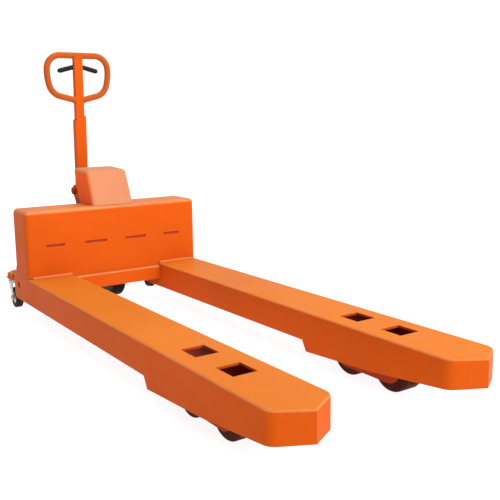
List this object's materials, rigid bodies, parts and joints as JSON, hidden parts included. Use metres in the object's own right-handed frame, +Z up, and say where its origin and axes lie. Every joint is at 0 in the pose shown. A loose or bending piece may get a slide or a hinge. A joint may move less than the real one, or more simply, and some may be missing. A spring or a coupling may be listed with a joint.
{
  "type": "electric pallet truck",
  "caption": "Walk-behind electric pallet truck with two long channel forks, battery box, load wheel bogies, steered drive wheels and a tiller with a closed hand loop.",
  "frame": {"origin": "centre of the floor footprint, on the floor", "axes": "+Z up; +Y from the fork tips to the tiller; +X to the operator's left as they face the forks"},
  "size_m": [0.846, 2.351, 1.2276],
  "materials": {
    "orange_paint": "semi-gloss powder coat",
    "red_paint": "semi-gloss enamel",
    "black_paint": "satin enamel",
    "zinc": "satin zinc plate",
    "pin_steel": "ground steel",
    "ram_chrome": "polished",
    "cast_hub": "rough cast, painted grey",
    "tyre": "worn polyurethane, near black",
    "load_wheel": "dusty dark polyurethane",
    "castor_wheel": "dusty dark polyurethane",
    "black_plastic": "fine matte grain",
    "grey_button": "semi-gloss",
    "green_button": "semi-gloss",
    "yellow_button": "semi-gloss",
    "red_button": "semi-gloss",
    "battery_case": "matte moulded case",
    "motor_case": "sand cast, ribbed"
  },
  "bodies": {
    "chassis": {"chassis_frame": "orange_paint", "lift_cylinders": "black_paint", "steering_bearing": "pin_steel", "cowl": "orange_paint", "cowl_screws": "zinc", "hydraulic_pack": "black_paint", "pressure_pipe": "pin_steel", "pad_bolts": "zinc"},
    "lift_frame": {"fork_left": "orange_paint", "fork_right": "orange_paint", "crossbar": "orange_paint", "battery_box": "orange_paint", "rear_cover": "orange_paint", "cover_screws": "zinc", "hood": "orange_paint", "batteries": "battery_case", "controller": "motor_case", "lift_crosshead": "orange_paint", "lift_rams": "ram_chrome", "key_switch": "zinc", "stop_housing": "yellow_button", "charge_socket": "black_plastic", "linkage_pins": "pin_steel"},
    "drive_unit": {"turntable": "cast_hub", "gearcase": "cast_hub", "drive_motor": "motor_case", "tiller_yoke": "orange_paint", "pivot_bolt": "red_paint"},
    "tiller": {"tiller_post": "orange_paint", "tiller_column": "orange_paint", "tiller_loop": "orange_paint", "switch_panel": "black_plastic"},
    "throttle": {"throttle_shaft": "pin_steel", "thumb_levers": "black_plastic"},
    "lower_button": {"lower_button": "grey_button"},
    "lift_button": {"lift_button": "green_button"},
    "horn_button": {"horn_button": "yellow_button"},
    "belly_button": {"belly_button": "red_button"},
    "key": {"key": "pin_steel"},
    "stop_button": {"stop_button": "red_button"},
    "rocker_left": {"rocker_left": "red_paint"},
    "load_arm_left": {"load_arm_left": "red_paint"},
    "bogie_left": {"bogie_left": "red_paint"},
    "front_roller_left": {"front_roller_left": "load_wheel"},
    "rear_roller_left": {"rear_roller_left": "load_wheel"},
    "push_rod_left": {"push_rod_left": "black_paint"},
    "castor_yoke_left": {"castor_yoke_left": "zinc"},
    "castor_wheel_left": {"castor_wheel_left": "castor_wheel"},
    "drive_wheel_left": {"drive_hub_left": "cast_hub", "drive_tyre_left": "tyre"},
    "rocker_right": {"rocker_right": "red_paint"},
    "load_arm_right": {"load_arm_right": "red_paint"},
    "bogie_right": {"bogie_right": "red_paint"},
    "front_roller_right": {"front_roller_right": "load_wheel"},
    "rear_roller_right": {"rear_roller_right": "load_wheel"},
    "push_rod_right": {"push_rod_right": "black_paint"},
    "castor_yoke_right": {"castor_yoke_right": "zinc"},
    "castor_wheel_right": {"castor_wheel_right": "castor_wheel"},
    "drive_wheel_right": {"drive_hub_right": "cast_hub", "drive_tyre_right": "tyre"}
  },
  "joints": [
    {"name": "lift", "type": "slide", "parent": "chassis", "child": "lift_frame", "axis": [0, 0, 1], "range_m": [-0.036, 0.074]},
    {"name": "rocker_left_turn", "type": "hinge", "parent": "lift_frame", "child": "rocker_left", "pos_m": [0.3195, 0.8585, 0.155], "axis": [1, 0, 0], "range_deg": [-19.2, 9.4]},
    {"name": "load_arm_left_turn", "type": "hinge", "parent": "lift_frame", "child": "load_arm_left", "pos_m": [0.3195, -0.4969, 0.095], "axis": [1, 0, 0], "range_deg": [-9.8, 20]},
    {"name": "bogie_left_turn", "type": "hinge", "parent": "load_arm_left", "child": "bogie_left", "pos_m": [0.3195, -0.7131, 0.0825], "axis": [1, 0, 0], "range_deg": [-20, 9.8]},
    {"name": "front_roller_left_spin", "type": "hinge", "parent": "bogie_left", "child": "front_roller_left", "pos_m": [0.3195, -0.8156, 0.0825], "axis": [1, 0, 0], "continuous": true},
    {"name": "rear_roller_left_spin", "type": "hinge", "parent": "bogie_left", "child": "rear_roller_left", "pos_m": [0.3195, -0.6106, 0.0825], "axis": [1, 0, 0], "continuous": true},
    {"name": "push_rod_left_slide", "type": "slide", "parent": "lift_frame", "child": "push_rod_left", "axis": [0, -0.9998, 0.0205], "range_m": [-0.0074, 0.0151]},
    {"name": "drive_wheel_left_spin", "type": "hinge", "parent": "drive_unit", "child": "drive_wheel_left", "pos_m": [0, 1.0205, 0.115], "axis": [1, 0, 0], "continuous": true},
    {"name": "castor_left_swivel", "type": "hinge", "parent": "chassis", "child": "castor_yoke_left", "pos_m": [0.374, 1.0935, 0.13], "axis": [0, 0, 1], "continuous": true},
    {"name": "rocker_right_turn", "type": "hinge", "parent": "lift_frame", "child": "rocker_right", "pos_m": [-0.3195, 0.8585, 0.155], "axis": [1, 0, 0], "range_deg": [-19.2, 9.4]},
    {"name": "load_arm_right_turn", "type": "hinge", "parent": "lift_frame", "child": "load_arm_right", "pos_m": [-0.3195, -0.4969, 0.095], "axis": [1, 0, 0], "range_deg": [-9.8, 20]},
    {"name": "bogie_right_turn", "type": "hinge", "parent": "load_arm_right", "child": "bogie_right", "pos_m": [-0.3195, -0.7131, 0.0825], "axis": [1, 0, 0], "range_deg": [-20, 9.8]},
    {"name": "front_roller_right_spin", "type": "hinge", "parent": "bogie_right", "child": "front_roller_right", "pos_m": [-0.3195, -0.8156, 0.0825], "axis": [1, 0, 0], "continuous": true},
    {"name": "rear_roller_right_spin", "type": "hinge", "parent": "bogie_right", "child": "rear_roller_right", "pos_m": [-0.3195, -0.6106, 0.0825], "axis": [1, 0, 0], "continuous": true},
    {"name": "push_rod_right_slide", "type": "slide", "parent": "lift_frame", "child": "push_rod_right", "axis": [0, -0.9998, 0.0205], "range_m": [-0.0074, 0.0151]},
    {"name": "drive_wheel_right_spin", "type": "hinge", "parent": "drive_unit", "child": "drive_wheel_right", "pos_m": [0, 1.0205, 0.115], "axis": [1, 0, 0], "continuous": true},
    {"name": "castor_right_swivel", "type": "hinge", "parent": "chassis", "child": "castor_yoke_right", "pos_m": [-0.374, 1.0935, 0.13], "axis": [0, 0, 1], "continuous": true},
    {"name": "castor_wheel_right_spin", "type": "hinge", "parent": "castor_yoke_right", "child": "castor_wheel_right", "pos_m": [-0.374, 1.0655, 0.05], "axis": [1, 0, 0], "continuous": true},
    {"name": "castor_wheel_left_spin", "type": "hinge", "parent": "castor_yoke_left", "child": "castor_wheel_left", "pos_m": [0.35194, 1.07626, 0.05], "axis": [0.6157, -0.788, 0], "continuous": true},
    {"name": "steering", "type": "hinge", "parent": "chassis", "child": "drive_unit", "pos_m": [0, 1.0205, 0.25], "axis": [0, 0, 1], "range_deg": [-85, 85]},
    {"name": "tiller_tilt", "type": "hinge", "parent": "drive_unit", "child": "tiller", "pos_m": [0, 1.1055, 0.545], "axis": [-1, 0, 0], "range_deg": [0, 80], "stiffness_Nm_per_rad": 25, "springref_deg": -17.19},
    {"name": "throttle_turn", "type": "hinge", "parent": "tiller", "child": "throttle", "pos_m": [0, 1.08418, 1.15563], "axis": [1, 0, 0], "range_deg": [-30, 30], "stiffness_Nm_per_rad": 0.8},
    {"name": "lower_button_press", "type": "slide", "parent": "tiller", "child": "lower_button", "axis": [0, -0.9994, -0.0349], "range_m": [0, 0.003], "stiffness_N_per_m": 500, "springref_m": -0.001},
    {"name": "lift_button_press", "type": "slide", "parent": "tiller", "child": "lift_button", "axis": [0, -0.9994, -0.0349], "range_m": [0, 0.003], "stiffness_N_per_m": 500, "springref_m": -0.001},
    {"name": "horn_button_press", "type": "slide", "parent": "tiller", "child": "horn_button", "axis": [0, -0.9994, -0.0349], "range_m": [0, 0.003], "stiffness_N_per_m": 500, "springref_m": -0.001},
    {"name": "belly_button_press", "type": "slide", "parent": "tiller", "child": "belly_button", "axis": [0, -0.9994, -0.0349], "range_m": [0, 0.004], "stiffness_N_per_m": 600, "springref_m": -0.002},
    {"name": "key_turn", "type": "hinge", "parent": "lift_frame", "child": "key", "pos_m": [-0.33, 0.8955, 0.4], "axis": [0, 1, 0], "range_deg": [0, 90]},
    {"name": "stop_button_press", "type": "slide", "parent": "lift_frame", "child": "stop_button", "axis": [0, -1, 0], "range_m": [0, 0.006]}
  ],
  "couplings": [
    {"joint": "rocker_left_turn", "follows": "lift", "rad_per_m": -4.506},
    {"joint": "load_arm_left_turn", "follows": "lift", "rad_per_m": 4.7},
    {"joint": "bogie_left_turn", "follows": "lift", "rad_per_m": -4.7},
    {"joint": "push_rod_left_slide", "follows": "lift", "ratio": 0.2028},
    {"joint": "rocker_right_turn", "follows": "lift", "rad_per_m": -4.506},
    {"joint": "load_arm_right_turn", "follows": "lift", "rad_per_m": 4.7},
    {"joint": "bogie_right_turn", "follows": "lift", "rad_per_m": -4.7},
    {"joint": "push_rod_right_slide", "follows": "lift", "ratio": 0.2028}
  ]
}
